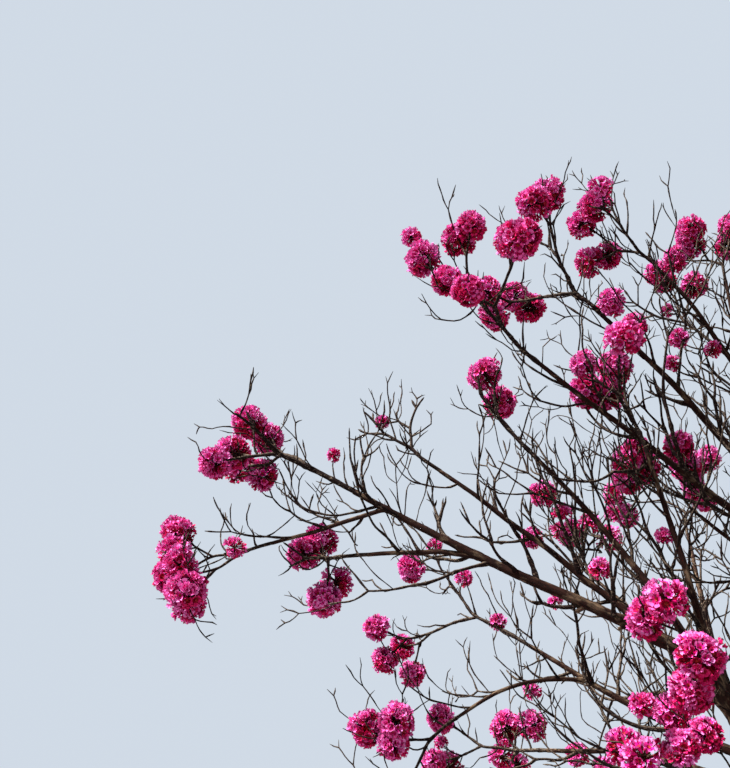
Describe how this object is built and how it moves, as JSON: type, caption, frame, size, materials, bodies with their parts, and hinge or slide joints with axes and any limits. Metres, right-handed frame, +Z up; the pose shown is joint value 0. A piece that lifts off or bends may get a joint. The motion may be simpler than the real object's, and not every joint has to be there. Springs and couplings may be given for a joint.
{
  "type": "pink trumpet tree",
  "caption": "Leafless flowering tree with a short flared trunk, long rising boughs and open masses of pink blossom balls at the twig ends.",
  "frame": {"origin": "middle of the flat cut under the trunk, at ground level", "axes": "+Z straight up; -X is the side whose long boughs the picture shows, and the picture looks along +Y"},
  "size_m": [5.4198, 4.3362, 6.4276],
  "materials": {
    "bark": "rough furrowed grey-brown bark",
    "blossom": "soft matt pink petals on thin brown twigs"
  },
  "bodies": {
    "root": {"east_bough": "bark", "east_bough_blossom": "blossom", "east_high_limb": "bark", "east_high_limb_blossom": "blossom", "east_stem": "bark", "inner_limb": "bark", "inner_limb_blossom": "blossom", "leader": "bark", "low_limb": "bark", "low_limb_blossom": "blossom", "near_limb": "bark", "near_limb_blossom": "blossom", "north_bough": "bark", "north_bough_blossom": "blossom", "north_high_limb": "bark", "north_high_limb_blossom": "blossom", "north_low_bough": "bark", "north_low_bough_blossom": "blossom", "north_stem": "bark", "northeast_bough": "bark", "northeast_bough_blossom": "blossom", "northwest_bough": "bark", "northwest_bough_blossom": "blossom", "northwest_high_limb": "bark", "northwest_high_limb_blossom": "blossom", "northwest_low_limb": "bark", "northwest_low_limb_blossom": "blossom", "south_bough": "bark", "south_bough_blossom": "blossom", "south_high_limb": "bark", "south_high_limb_blossom": "blossom", "south_low_limb": "bark", "south_low_limb_blossom": "blossom", "south_top_limb": "bark", "south_top_limb_blossom": "blossom", "southeast_bough": "bark", "southeast_bough_blossom": "blossom", "southwest_bough": "bark", "southwest_bough_blossom": "blossom", "southwest_high_limb": "bark", "southwest_high_limb_blossom": "blossom", "southwest_limb": "bark", "southwest_limb_blossom": "blossom", "top_east_limb": "bark", "top_east_limb_blossom": "blossom", "top_south_limb": "bark", "top_south_limb_blossom": "blossom", "top_west_limb": "bark", "top_west_limb_blossom": "blossom", "trunk": "bark", "west_bough": "bark", "west_bough_blossom": "blossom", "west_high_limb": "bark", "west_high_limb_blossom": "blossom", "west_low_limb": "bark", "west_low_limb_blossom": "blossom", "west_stem": "bark", "west_tip_limb": "bark", "west_tip_limb_blossom": "blossom"}
  },
  "joints": []
}
